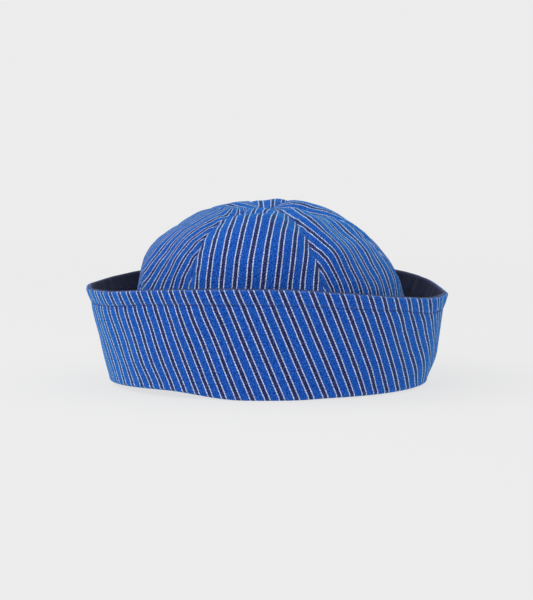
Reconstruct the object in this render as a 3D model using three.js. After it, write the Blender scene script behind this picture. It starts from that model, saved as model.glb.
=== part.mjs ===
import * as THREE from 'three';

// Sizes in mm. The hat rests on its turned fold at z = 0, front towards -Y.
// Azimuth runs from the front (0) towards the wearer's left side (+X, 90).
const foldHalfWidth = 95;
const foldHalfDepth = 101;
const brimFlare = 14.7;
const clothGap = 0.3;
const outerCloth = 1.4;
const facingCloth = 1.2;
const crownCloth = 1.4;
const edgeRound = 0.5;

// Crown
const crownShiftX = 2.4;
const apexShiftX = -3;
const domeFoot = 41.5;
const domeHalfWidth = 82.6;
const domeHalfDepth = 85.6;
const domeTop = 110.2;
const gores = 6;
const firstGoreAzimuth = -6.5;
const goreColumns = 10;
const seamAllowance = 1.0;
const seamAllowanceWidth = 7;
const seamDip = 1.1;
const seamDipWidth = 7;
const apexDip = 2.6;
const apexDipWidth = 15;
const riseFade = 30;
const puffFade = 26;
const wallSpread = 1.25;

// Brim
const hemDepth = 8;
const hemPinch = 0.5;
const hemPinchWidth = 2.4;
const hemRow = 3.5;
const bellyHeight = 14;
const bellyReach = 18;
const channelFloor = 1.5;
const foldRound = 2;
const foldRise = 1;
const returnHeight = 12;
const allowanceFade = 6;
const footReach = outerCloth + clothGap + facingCloth;
const brimStations = 60;

// The brim's upper edge and its fold, round the hat.
// rim: height of the upper edge, lift: fold's height above the table,
// lip: extra lean of the hem above its stitching, belly: bulge of the wall above the fold.
const brimShape = [
  { azimuth: 8, rim: 64.7, lift: 0, lip: 0.2, belly: 0.4 },
  { azimuth: 24, rim: 62.2, lift: 0.7, lip: 0.2, belly: 0.8 },
  { azimuth: 45, rim: 58.2, lift: 0.8, lip: 0.3, belly: 1.4 },
  { azimuth: 68, rim: 55.3, lift: 0.9, lip: 0.2, belly: 2.3 },
  { azimuth: 90, rim: 55.2, lift: 0.5, lip: 0.3, belly: 2.9 },
  { azimuth: 120, rim: 61.9, lift: 0, lip: 0.2, belly: 2.0 },
  { azimuth: 150, rim: 65.6, lift: 0, lip: 0.4, belly: 1.0 },
  { azimuth: 180, rim: 66.0, lift: 0, lip: 0.4, belly: 0.5 },
  { azimuth: 210, rim: 65.4, lift: 0, lip: 0.4, belly: 0.3 },
  { azimuth: 240, rim: 61.2, lift: 0.2, lip: 0.5, belly: 0.1 },
  { azimuth: 270, rim: 58.9, lift: 1.4, lip: 0.5, belly: 0 },
  { azimuth: 300, rim: 59.9, lift: 2.9, lip: 0.5, belly: 0.1 },
  { azimuth: 322, rim: 62.9, lift: 3.7, lip: 0.3, belly: 0.3 },
  { azimuth: 352, rim: 65.2, lift: 0, lip: 0.2, belly: 0.4 },
];

// How each crown panel stands: puff between its seams, squareness of its shoulder
// and how far its top rises above or below the dome's height.
const goreShape = [
  { name: 'front', azimuth: 0, puff: 1.4, square: 2.42, rise: -0.2 },
  { name: 'front_right', azimuth: 60, puff: 1.0, square: 2.08, rise: 0 },
  { name: 'back_right', azimuth: 120, puff: 1.6, square: 2.03, rise: 0.6 },
  { name: 'back', azimuth: 180, puff: 1.8, square: 2.2, rise: 0.2 },
  { name: 'back_left', azimuth: 240, puff: 1.4, square: 2.36, rise: 0 },
  { name: 'front_left', azimuth: 300, puff: 1.2, square: 2.44, rise: -0.4 },
];

// Folds and dents in the crown cloth. Each runs straight between two places
// given by azimuth and distance from the crown's axis; height > 0 stands out.
const crownFolds = [
  { name: 'left crease', from: [-64, 87], to: [-66, 72], width: 11, height: 2.4 },
  { name: 'left shoulder', from: [-72, 77], to: [-108, 77], width: 11, height: 1.0 },
  { name: 'left slope', from: [-80, 57], to: [-108, 57], width: 14, height: -1.6 },
  { name: 'left hollow', from: [-84, 88], to: [-85, 81], width: 12, height: -1.2 },
  { name: 'right fold', from: [44, 26], to: [34, 72], width: 9, height: 1.7 },
  { name: 'right trough', from: [62, 32], to: [52, 76], width: 12, height: -1.8 },
  { name: 'front ridge', from: [-15, 44], to: [6, 44], width: 7, height: 1.0 },
  { name: 'front dent', from: [-31, 33], to: [-2, 31], width: 9, height: -1.6 },
  { name: 'seam pucker', from: [16, 80], to: [20, 66], width: 8, height: -1.2 },
  { name: 'back puff', from: [144, 22], to: [124, 27], width: 10, height: 3.2 },
  { name: 'back left dent', from: [-128, 40], to: [-112, 62], width: 14, height: -1.8 },
  { name: 'back right fold', from: [112, 42], to: [128, 70], width: 12, height: 1.5 },
];

// Rows of the crown from the apex outwards: angle on the dome in degrees,
// then share of the way down the upright wall.
const domeRows = [4, 9, 15, 22, 31, 42, 54, 66, 78, 90];
const wallRows = [0.4, 0.75, 1];
const apexRow = 0.02;
const lastDomeRow = 90;

// The relief fades away between these rows, and below the level row the cloth
// is thickened straight inwards.
const reliefEndsFrom = 100;
const reliefEndsOver = 50;
const levelRow = 135;

// Rows of the brim, as share of the height from fold to hem stitching.
const brimRows = [0.06, 0.3, 0.6, 0.93];

const radians = (degrees) => degrees * Math.PI / 180;
const mix = (a, b, t) => a + (b - a) * t;
const clamp01 = (t) => Math.min(1, Math.max(0, t));
const smooth = (t) => clamp01(t) ** 2 * (3 - 2 * clamp01(t));

// Smooth closed curve through one column of a table, flat at its highs and lows.
function around(table, column, azimuth) {
  const count = table.length;
  const turned = ((azimuth - table[0].azimuth) % 360 + 360) % 360;
  let i = count - 1;
  while (table[i].azimuth - table[0].azimuth > turned) i -= 1;
  const value = (k) => table[(i + k + count) % count][column];
  const angle = (k) => table[(i + k + count) % count].azimuth + 360 * Math.floor((i + k) / count);
  const chord = (k) => (value(k + 1) - value(k)) / (angle(k + 1) - angle(k));
  const slope = (before, after) => (before * after > 0 ? 2 * before * after / (before + after) : 0);
  const span = angle(1) - angle(0);
  const t = (turned + table[0].azimuth - angle(0)) / span;
  const slope1 = slope(chord(-1), chord(0)) * span;
  const slope2 = slope(chord(0), chord(1)) * span;
  const rise = value(1) - value(0);
  const cubic = slope1 + slope2 - 2 * rise;
  const square = 3 * rise - 2 * slope1 - slope2;
  return value(0) + t * (slope1 + t * (square + t * cubic));
}

// Point on an ellipse in plan, moved outwards along the ellipse's normal.
function onEllipse(halfWidth, halfDepth, azimuth, outwards) {
  const s = Math.sin(radians(azimuth));
  const c = Math.cos(radians(azimuth));
  const length = Math.hypot(halfDepth * s, halfWidth * c);
  return [
    halfWidth * s + outwards * halfDepth * s / length,
    -halfDepth * c - outwards * halfWidth * c / length,
  ];
}

// Brim: height above the table and lean outwards from the fold.
function brimPoint(azimuth, outwards, z) {
  const rim = around(brimShape, 'rim', azimuth);
  const lift = around(brimShape, 'lift', azimuth);
  const lip = around(brimShape, 'lip', azimuth);
  const belly = around(brimShape, 'belly', azimuth);
  const share = clamp01((z - lift) / (rim - lift));
  const aboveStitch = z - (rim - hemDepth);
  const pinch = -hemPinch * Math.exp(-((aboveStitch / hemPinchWidth) ** 2));
  const flip = lip * smooth(aboveStitch / hemDepth);
  const bulge = belly * Math.exp(-(((z - lift - bellyHeight) / bellyReach) ** 2));
  const out = outwards + brimFlare * share + pinch + flip + bulge;
  const [x, y] = onEllipse(foldHalfWidth, foldHalfDepth, azimuth, out);
  return new THREE.Vector3(x, y, z);
}

// Foot of the crown inside the fold, measured inwards from the fold's outline.
const crownFootInset = outerCloth + facingCloth + 2 * clothGap;
const footHeight = channelFloor + clothGap;

function crownAxes(share) {
  const spread = share ** wallSpread;
  return [
    mix(domeHalfWidth, foldHalfWidth - crownFootInset, spread),
    mix(domeHalfDepth, foldHalfDepth - crownFootInset, spread),
  ];
}

// Upright wall of the crown, share 0 at the dome's foot and 1 in the fold.
function crownWall(azimuth, share, inset) {
  const lift = around(brimShape, 'lift', azimuth);
  const [halfWidth, halfDepth] = crownAxes(share);
  const [x, y] = onEllipse(halfWidth, halfDepth, azimuth, -inset);
  const foot = lift + footHeight;
  return new THREE.Vector3(x + crownShiftX * (1 - smooth(share)), y, mix(domeFoot, foot, share));
}

// The crown's axis leans a little to the hat's right, so the apex sits off centre.
function axisX(z) {
  return crownShiftX + apexShiftX * clamp01((z - domeFoot) / (domeTop - domeFoot)) ** 2;
}

// Smooth dome without puffs: angle 0 at the apex and 90 at the dome's foot.
function crownDome(azimuth, angle) {
  const square = around(goreShape, 'square', azimuth - firstGoreAzimuth);
  const rise = around(goreShape, 'rise', azimuth - firstGoreAzimuth);
  const out = Math.sin(radians(angle)) ** (2 / square);
  const up = Math.max(0, Math.cos(radians(angle))) ** (2 / square);
  const away = smooth(out * domeHalfWidth / riseFade);
  const [x, y] = onEllipse(domeHalfWidth, domeHalfDepth, azimuth, 0);
  const top = domeTop + rise * away * (1 - out);
  const z = mix(domeFoot, top, up);
  return new THREE.Vector3(x * out + axisX(z), y * out, z);
}

// row is the dome angle up to the last dome row, then as far again down the wall.
function crownSmooth(azimuth, row) {
  if (row <= lastDomeRow) return crownDome(azimuth, row);
  return crownWall(azimuth, row / lastDomeRow - 1, 0);
}

function outwardNormal(azimuth, row) {
  const step = 0.4;
  const safeRow = Math.min(Math.max(row, 1), 2 * lastDomeRow - step);
  const east = crownSmooth(azimuth + step, safeRow).sub(crownSmooth(azimuth - step, safeRow));
  const south = crownSmooth(azimuth, safeRow + step).sub(crownSmooth(azimuth, safeRow - step));
  return south.cross(east).normalize();
}

// Place on the dome at a distance from the axis, for the ends of a fold.
function domeAtRadius(azimuth, radius) {
  const halvings = 30;
  let low = 0;
  let high = 2 * lastDomeRow;
  for (let i = 0; i < halvings; i += 1) {
    const middle = (low + high) / 2;
    const point = crownSmooth(azimuth, middle);
    if (Math.hypot(point.x - axisX(point.z), point.y) < radius) low = middle;
    else high = middle;
  }
  return crownSmooth(azimuth, low);
}

const foldLines = crownFolds.map((fold) => ({
  ...fold,
  line: new THREE.Line3(
    domeAtRadius(...fold.from),
    domeAtRadius(...fold.to),
  ),
}));

// Everything that moves the crown cloth off the smooth dome.
function crownRelief(azimuth, row, point) {
  const radius = Math.hypot(point.x - axisX(point.z), point.y);
  const goreAngle = 360 / gores;
  const turned = azimuth - firstGoreAzimuth + goreAngle * (gores + 0.5);
  const fromCentre = turned % goreAngle - goreAngle / 2;
  const toSeam = radians(goreAngle / 2 - Math.abs(fromCentre)) * radius;
  const puff = around(goreShape, 'puff', azimuth - firstGoreAzimuth);
  const foot = 1 - smooth((row - reliefEndsFrom) / reliefEndsOver);
  const away = smooth(radius / puffFade);
  let relief = puff * Math.cos(Math.PI * fromCentre / goreAngle) * away * foot;
  relief -= seamDip * Math.exp(-((toSeam / seamDipWidth) ** 2)) * away * foot;
  relief -= apexDip * Math.exp(-((radius / apexDipWidth) ** 2));
  const nearest = new THREE.Vector3();
  for (const fold of foldLines) {
    fold.line.closestPointToPoint(point, true, nearest);
    relief += fold.height * Math.exp(-((nearest.distanceTo(point) / fold.width) ** 2)) * foot;
  }
  return { relief, toSeam };
}

// inside false gives the outer face, inside true the inner face with its seam allowance.
function crownPoint(azimuth, row, inside) {
  const point = crownSmooth(azimuth, row);
  const { relief, toSeam } = crownRelief(azimuth, row, point);
  const normal = outwardNormal(azimuth, row);
  let depth = 0;
  if (inside) {
    const inTheFold = smooth((point.z - returnHeight - allowanceFade) / allowanceFade);
    depth = crownCloth + seamAllowance * (1 - smooth(toSeam / seamAllowanceWidth)) * inTheFold;
  }
  if (row > levelRow) {
    normal.z = 0;
    normal.normalize();
  }
  return point.addScaledVector(normal, relief - depth);
}

// Collects triangles into one closed body.
class Body {
  constructor() {
    this.points = [];
    this.faces = [];
  }

  add(point) {
    this.points.push(point);
    return this.points.length - 1;
  }

  quad(a, b, c, d) {
    this.faces.push([a, b, c], [a, c, d]);
  }

  mesh(name, material) {
    const geometry = new THREE.BufferGeometry();
    const positions = this.faces.flatMap((face) => face.flatMap((i) => this.points[i].toArray()));
    geometry.setAttribute('position', new THREE.Float32BufferAttribute(positions, 3));
    geometry.computeVertexNormals();
    const mesh = new THREE.Mesh(geometry, material);
    mesh.name = name;
    return mesh;
  }
}

// Ring swept round the hat. section(azimuth) returns its closed outline,
// counter-clockwise when seen with the hat's centre on the left.
function ring(section) {
  const body = new Body();
  const loops = [];
  for (let i = 0; i < brimStations; i += 1) {
    const azimuth = firstGoreAzimuth + i * 360 / brimStations;
    loops.push(section(azimuth).map((point) => body.add(point)));
  }
  loops.forEach((loop, i) => {
    const next = loops[(i + 1) % loops.length];
    loop.forEach((corner, k) => {
      const after = (k + 1) % loop.length;
      body.quad(corner, next[k], next[after], loop[after]);
    });
  });
  return body;
}

function brimHeights(azimuth) {
  const rim = around(brimShape, 'rim', azimuth);
  const lift = around(brimShape, 'lift', azimuth);
  const stitch = rim - hemDepth;
  const wall = brimRows.map((share) => mix(lift, stitch, share));
  return { rim, lift, rows: [...wall, stitch, rim - hemRow] };
}

// Inner turn of the outer cloth: it follows the inner face of the crown's wall.
function returnPoint(azimuth, z, inset) {
  const lift = around(brimShape, 'lift', azimuth);
  const share = (domeFoot - z) / (domeFoot - lift - footHeight);
  const point = crownWall(azimuth, Math.min(share, 1), crownCloth + clothGap + inset);
  point.z = z;
  return point;
}

// Outer cloth: the tall wall and a short foot folded under the facing.
function outerSection(azimuth) {
  const { rim, lift, rows } = brimHeights(azimuth);
  const floor = lift + channelFloor;
  const outside = rows.map((z) => brimPoint(azimuth, 0, z));
  const inside = rows.map((z) => brimPoint(azimuth, -outerCloth, z)).reverse();
  return [
    brimPoint(azimuth, -footReach, lift),
    brimPoint(azimuth, -foldRound, lift),
    brimPoint(azimuth, -foldRound / 3, lift + foldRise),
    ...outside,
    brimPoint(azimuth, 0, rim - edgeRound),
    brimPoint(azimuth, -outerCloth / 2, rim),
    brimPoint(azimuth, -outerCloth, rim - edgeRound),
    ...inside,
    brimPoint(azimuth, -outerCloth, floor),
    brimPoint(azimuth, -footReach, floor),
  ];
}

// The rest of the fold, turned up inside the crown. It carries the crown's foot.
function turnSection(azimuth) {
  const lift = around(brimShape, 'lift', azimuth);
  const floor = lift + channelFloor;
  const top = lift + returnHeight;
  const middle = mix(floor, top, 0.5);
  return [
    brimPoint(azimuth, -footReach - clothGap, lift),
    brimPoint(azimuth, -footReach - clothGap, floor),
    returnPoint(azimuth, floor, 0),
    returnPoint(azimuth, middle, 0),
    returnPoint(azimuth, top - edgeRound, 0),
    returnPoint(azimuth, top, outerCloth / 2),
    returnPoint(azimuth, top - edgeRound, outerCloth),
    returnPoint(azimuth, middle, outerCloth),
    returnPoint(azimuth, floor, outerCloth),
    returnPoint(azimuth, lift, outerCloth - edgeRound),
  ];
}

function facingSection(azimuth) {
  const { rim, lift, rows } = brimHeights(azimuth);
  const near = outerCloth + clothGap;
  const far = near + facingCloth;
  const floor = lift + footHeight;
  return [
    brimPoint(azimuth, -near, floor),
    ...rows.map((z) => brimPoint(azimuth, -near, z)),
    brimPoint(azimuth, -near, rim - edgeRound),
    brimPoint(azimuth, -near - facingCloth / 2, rim),
    brimPoint(azimuth, -far, rim - edgeRound),
    ...rows.map((z) => brimPoint(azimuth, -far, z)).reverse(),
    brimPoint(azimuth, -far, floor),
  ];
}

// One wedge of the crown. Its two edges keep half the cloth gap to the seam planes.
function crownPanel(centre) {
  const body = new Body();
  const rows = [...domeRows, ...wallRows.map((share) => 90 + 90 * share)];
  const halfAngle = 180 / gores;
  const grid = (inside) => rows.map((row) => {
    const flat = crownSmooth(centre, row);
    const radius = Math.hypot(flat.x - axisX(flat.z), flat.y);
    const trim = Math.asin(clothGap / 2 / radius) * 180 / Math.PI;
    return Array.from({ length: goreColumns + 1 }, (_, k) => {
      const azimuth = centre + (halfAngle - trim) * (2 * k / goreColumns - 1);
      return body.add(crownPoint(azimuth, row, inside));
    });
  });
  const outer = grid(false);
  const inner = grid(true);
  const tip = (face) => body.points[face[0][goreColumns / 2]].clone();
  const towardsAxis = (point) => {
    const apex = crownPoint(centre, apexRow, false);
    const reach = clothGap / 2 / Math.sin(radians(halfAngle));
    const s = Math.sin(radians(centre));
    const c = Math.cos(radians(centre));
    const drop = apex.z - tip(outer).z;
    return new THREE.Vector3(axisX(domeTop) + reach * s, -reach * c, point.z + drop);
  };
  const outerTip = body.add(towardsAxis(tip(outer)));
  const innerTip = body.add(towardsAxis(tip(inner)));
  const last = rows.length - 1;
  for (let k = 0; k < goreColumns; k += 1) {
    body.faces.push([outerTip, outer[0][k], outer[0][k + 1]]);
    body.faces.push([innerTip, inner[0][k + 1], inner[0][k]]);
    for (let j = 0; j < last; j += 1) {
      body.quad(outer[j][k], outer[j + 1][k], outer[j + 1][k + 1], outer[j][k + 1]);
      body.quad(inner[j][k], inner[j][k + 1], inner[j + 1][k + 1], inner[j + 1][k]);
    }
    body.quad(outer[last][k], inner[last][k], inner[last][k + 1], outer[last][k + 1]);
  }
  for (let j = 0; j < last; j += 1) {
    body.quad(outer[j][0], inner[j][0], inner[j + 1][0], outer[j + 1][0]);
    const k = goreColumns;
    body.quad(outer[j][k], outer[j + 1][k], inner[j + 1][k], inner[j][k]);
  }
  body.quad(outerTip, innerTip, inner[0][0], outer[0][0]);
  body.quad(outerTip, outer[0][goreColumns], inner[0][goreColumns], innerTip);
  return body;
}

const cloth = (color, roughness) => new THREE.MeshStandardMaterial({ color, roughness, metalness: 0 });
const stripedCloth = () => cloth('#3359a2', 0.92);
const navyCloth = () => cloth('#252a3c', 0.95);

const hat = new THREE.Group();
hat.name = 'sailor_hat';
goreShape.forEach((gore, i) => {
  const centre = firstGoreAzimuth + i * 360 / gores;
  hat.add(crownPanel(centre).mesh(`crown_panel_${gore.name}`, stripedCloth()));
});
hat.add(ring(outerSection).mesh('brim_outer', stripedCloth()));
hat.add(ring(turnSection).mesh('brim_inner_turn', stripedCloth()));
hat.add(ring(facingSection).mesh('brim_facing', navyCloth()));

export default hat;
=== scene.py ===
import bpy
import math
import numpy as np
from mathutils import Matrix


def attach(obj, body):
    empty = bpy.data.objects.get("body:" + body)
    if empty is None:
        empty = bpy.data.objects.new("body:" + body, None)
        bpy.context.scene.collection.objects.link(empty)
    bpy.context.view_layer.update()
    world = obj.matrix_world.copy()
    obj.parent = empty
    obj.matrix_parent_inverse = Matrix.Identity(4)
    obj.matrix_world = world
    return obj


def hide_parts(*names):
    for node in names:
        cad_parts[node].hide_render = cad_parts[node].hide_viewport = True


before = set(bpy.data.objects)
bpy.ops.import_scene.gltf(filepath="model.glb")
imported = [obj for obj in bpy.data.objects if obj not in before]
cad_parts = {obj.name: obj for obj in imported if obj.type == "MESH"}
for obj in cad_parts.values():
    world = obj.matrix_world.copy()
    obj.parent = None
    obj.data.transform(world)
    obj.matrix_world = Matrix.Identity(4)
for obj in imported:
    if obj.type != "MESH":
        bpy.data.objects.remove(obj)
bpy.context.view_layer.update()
print("frame loaded with", len(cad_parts), "solids")

# Lengths are in mm unless a note says otherwise, and mm turns them into metres.
# The hat faces -Y. Azimuth is 0 at the front, 90 at the right of the picture, 180 at the back.
mm = 0.001


def smooth(t):
    t = np.clip(t, 0, 1)
    return t * t * (3 - 2 * t)


def hill(distance, width):
    return np.exp(-(distance / width) ** 2)


def around(table, column, azimuth):
    # closed curve through one column of a table, flat at its highs and lows
    station = np.array([row["azimuth"] for row in table], float)
    value = np.array([row[column] for row in table], float)
    station = np.concatenate([station[-2:] - 360, station, station[:2] + 360])
    value = np.concatenate([value[-2:], value, value[:2]])
    chord = np.diff(value) / np.diff(station)
    before, after = chord[:-1], chord[1:]
    together = before * after > 0
    slope = np.zeros(len(station))
    slope[1:-1][together] = (2 * before * after)[together] / (before + after)[together]
    turned = (np.asarray(azimuth, float) - station[2]) % 360 + station[2]
    i = np.clip(np.searchsorted(station, turned, side="right") - 1, 1, len(station) - 3)
    span = station[i + 1] - station[i]
    t = (turned - station[i]) / span
    start, end, rise = slope[i] * span, slope[i + 1] * span, value[i + 1] - value[i]
    cubic, square = start + end - 2 * rise, 3 * rise - 2 * start - end
    return value[i] + t * (start + t * (square + t * cubic))


def onEllipse(halfWidth, halfDepth, azimuth, outwards):
    s, c = np.sin(np.radians(azimuth)), np.cos(np.radians(azimuth))
    length = np.hypot(halfDepth * s, halfWidth * c)
    x = halfWidth * s + outwards * halfDepth * s / length
    y = -halfDepth * c - outwards * halfWidth * c / length
    return x, y


noise = {"waves": 16, "shortest": 0.7, "longest": 1.7}  # lengths as share of the size asked for


def softNoise(points, size, seed):
    # smooth random hills about 1 high and size apart, the same on every run
    random = np.random.default_rng(seed)
    total = np.zeros(points.shape[:-1])
    for _ in range(noise["waves"]):
        direction = random.normal(size=3)
        length = np.linalg.norm(direction) * size * random.uniform(noise["shortest"], noise["longest"])
        direction *= 2 * math.pi / length
        total += np.sin(points @ direction + random.uniform(0, 2 * math.pi))
    return total / math.sqrt(noise["waves"] / 2)


def linkPiece(name, mesh):
    mesh.polygons.foreach_set("use_smooth", np.ones(len(mesh.polygons), bool))
    piece = bpy.data.objects.new(name, mesh)
    bpy.context.scene.collection.objects.link(piece)
    return piece


def clothPiece(name, outer, inner, grain, wearAndHighlight, closed):
    # a cloth wall between two grids of points, with the place on the flat cloth as its UV
    # closed cloth runs all the way round: its last column is its first one again
    rows, columns = outer.shape[:2]
    shown = columns - 1 if closed else columns
    count = rows * shown
    points = np.concatenate([outer[:, :shown].reshape(-1, 3), inner[:, :shown].reshape(-1, 3)]) * mm
    place = np.arange(rows)[:, None] * shown + np.arange(columns)[None, :] % shown
    uvPlace = np.arange(rows * columns).reshape(rows, columns)

    def quads(at):
        return np.stack([at[:-1, :-1], at[1:, :-1], at[1:, 1:], at[:-1, 1:]], -1).reshape(-1, 4)

    def strip(at, other):
        return np.stack([at[:-1], other[:-1], other[1:], at[1:]], -1)

    faces = [quads(place), quads(place + count)[:, ::-1]]
    corners = [quads(uvPlace), quads(uvPlace)[:, ::-1]]
    edges = [(place[0], uvPlace[0], True), (place[-1], uvPlace[-1], False)]
    if not closed:
        edges += [(place[:, 0], uvPlace[:, 0], False), (place[:, -1], uvPlace[:, -1], True)]
    for at, uvAt, flipped in edges:
        turn = -1 if flipped else 1
        faces.append(strip(at, at + count)[:, ::turn])
        corners.append(strip(uvAt, uvAt)[:, ::turn])
    faces, corners = np.concatenate(faces), np.concatenate(corners)

    a, b, c, d = (points[faces[:, k]] for k in range(4))
    volume = np.einsum("ij,ij->", a, np.cross(b, c)) + np.einsum("ij,ij->", a, np.cross(c, d))
    if volume < 0:
        faces, corners = faces[:, ::-1], corners[:, ::-1]
    mesh = bpy.data.meshes.new(name)
    mesh.from_pydata(points.tolist(), [], faces.tolist())
    layer = mesh.uv_layers.new(name="grain")
    layer.data.foreach_set("uv", (grain.reshape(-1, 2)[corners.reshape(-1)] * mm).reshape(-1))
    # per point lightening: real wear at the stitches, seams, fold and top, and painted highlights at the
    # rim edges and on the left crease ridge
    wornAndLit = mesh.attributes.new("wearAndHighlight", "FLOAT", "POINT")
    wearAndHighlightShown = np.clip(wearAndHighlight[:, :shown], 0, 1).reshape(-1)
    wornAndLit.data.foreach_set("value", np.concatenate([wearAndHighlightShown, wearAndHighlightShown]).astype(np.float32))
    mesh.update()
    return linkPiece(name, mesh)


def dress(piece, material, slotName, *nodes):
    # finish of a piece, and the solids that it stands for
    piece.data.materials.append(material)
    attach(piece, "root")
    if nodes:
        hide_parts(*nodes)


# short ways to lay out shader nodes
def newMaterial(name):
    material = bpy.data.materials.new(name)
    material.use_nodes = True
    return material, material.node_tree, material.node_tree.nodes["Principled BSDF"]


def plug(tree, socket, value):
    if isinstance(value, bpy.types.NodeSocket):
        tree.links.new(value, socket)
    elif socket.type == "RGBA":
        socket.default_value = (*value, 1)
    else:
        socket.default_value = value


def calc(tree, operation, *values):
    made = tree.nodes.new("ShaderNodeMath")
    made.operation = operation
    for socket, value in zip(made.inputs, values):
        plug(tree, socket, value)
    return made.outputs[0]


def fade(tree, value, low, high, lowTo=0.0, highTo=1.0):
    made = tree.nodes.new("ShaderNodeMapRange")
    made.interpolation_type = "SMOOTHSTEP"
    for socket, number in zip(made.inputs, (value, low, high, lowTo, highTo)):
        plug(tree, socket, number)
    return made.outputs[0]


def mixColour(tree, share, first, second):
    made = tree.nodes.new("ShaderNodeMix")
    made.data_type = "RGBA"
    plug(tree, made.inputs[0], share)
    plug(tree, made.inputs[6], first)
    plug(tree, made.inputs[7], second)
    return made.outputs[2]


def speckle(tree, vector, perMetre, detail=2.0):
    made = tree.nodes.new("ShaderNodeTexNoise")
    plug(tree, made.inputs["Vector"], vector)
    made.inputs["Scale"].default_value = perMetre
    made.inputs["Detail"].default_value = detail
    return made.outputs[0]


def stretched(tree, u, v, share):
    # place on the cloth with its length along the stripes shortened, for marks that are drawn out
    made = tree.nodes.new("ShaderNodeCombineXYZ")
    plug(tree, made.inputs[0], u)
    plug(tree, made.inputs[1], calc(tree, "MULTIPLY", v, share))
    return made.outputs[0]


def clothPlace(tree):
    made = tree.nodes.new("ShaderNodeUVMap")
    made.uv_map = "grain"
    apart = tree.nodes.new("ShaderNodeSeparateXYZ")
    tree.links.new(made.outputs[0], apart.inputs[0])
    wornAndLit = tree.nodes.new("ShaderNodeAttribute")
    wornAndLit.attribute_name = "wearAndHighlight"
    return made.outputs[0], apart.outputs[0], apart.outputs[1], wornAndLit.outputs["Fac"]


def bump(tree, shader, height, look):
    made = tree.nodes.new("ShaderNodeBump")
    made.inputs["Strength"].default_value = look["bump"]
    made.inputs["Distance"].default_value = look["bumpDepth"]
    plug(tree, made.inputs["Height"], height)
    plug(tree, shader.inputs["Normal"], made.outputs[0])


def offMiddle(tree, value, share, middle=0.5):
    # a value's distance from its middle, times share
    return calc(tree, "MULTIPLY", calc(tree, "SUBTRACT", value, middle), share)


def finishCloth(shader, look):
    shader.inputs["Roughness"].default_value = look["roughness"]
    shader.inputs["Specular IOR Level"].default_value = look["gloss"]
    shader.inputs["Sheen Weight"].default_value = look["sheen"]
    shader.inputs["Sheen Roughness"].default_value = look["sheenRoughness"]
    shader.inputs["Sheen Tint"].default_value = (*look["sheenTint"], 1)


twill = {
    "period": 7.888,  # from one navy stripe to the next
    "navyHalf": 0.126,  # half width of the navy band, as share of the period
    "navyEdge": 0.006,  # softness of its edges
    "whiteAt": 0.182,  # middle of each white line, from the middle of the navy band
    "whiteHalf": 0.037, "whiteEdgeIn": 0.008, "whiteEdgeOut": 0.01,
    "wander": 0.05, "wandersPerMetre": 800.0,  # of the stripes' edges
    "ropePitch": 1.75,  # length of one twist of the white yarn
    "ropeLean": 3.4, "ropeSwell": 0.04, "ropeThins": (0.0, 0.2), "ropeWaist": 0.45,
    "ribPitch": 1.35,  # between the fine ribs of the weave, along the stripes
    "ribLean": 0.12, "ribWander": 2.5, "ribInYarn": 0.22,
    "ribGroove": (0.0, 0.6), "ribShade": 0.2,
    "slubsPerMetre": 520.0, "slubs": (0.32, 0.68),  # thick places in the yarn
    "yarnsPerMetre": 2100.0, "yarnStretch": 0.4, "yarnTops": (0.5, 0.7), "yarnGaps": (0.34, 0.5),
    "cloudsPerMetre": 45.0, "clouds": (0.4, 0.75), "cloudShade": 0.25,
    "patchesPerMetre": 260.0, "patches": (0.3, 0.7), "leastPatch": 0.25, "mostWornAndLit": 0.5,
    "blue": (0.009, 0.092, 0.51),
    "blueDeep": (0.005, 0.062, 0.39),
    "bluePale": (0.07, 0.25, 0.80),  # fibres on top of the weave
    "blueShade": (0.002, 0.036, 0.27),  # gaps between the yarns
    "navy": (0.017, 0.023, 0.105),
    "navyPale": (0.092, 0.102, 0.265),
    "navyShade": (0.002, 0.003, 0.012),
    "white": (0.70, 0.76, 0.97),
    "whiteShade": (0.30, 0.34, 0.50),
    # paler colour for worn places and for painted highlights
    "fadedAndLit": (0.13, 0.22, 0.55),
    "underRib": (0.003, 0.007, 0.03),
    "paleOnBlue": 0.5, "shadeOnBlue": 0.55, "paleOnNavy": 0.65, "shadeOnNavy": 0.65, "shadeOnWhite": 0.8,
    "bump": 0.6, "bumpDepth": 0.00024,  # the depth in metres
    "ribHeight": 0.8, "yarnHeight": 0.9, "whiteHeight": 0.6,
    "roughness": 0.92,
    "gloss": 0.04,
    "sheen": 0.5,
    "sheenRoughness": 0.42,
    "sheenTint": (0.07, 0.5, 1.0),
}


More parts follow.
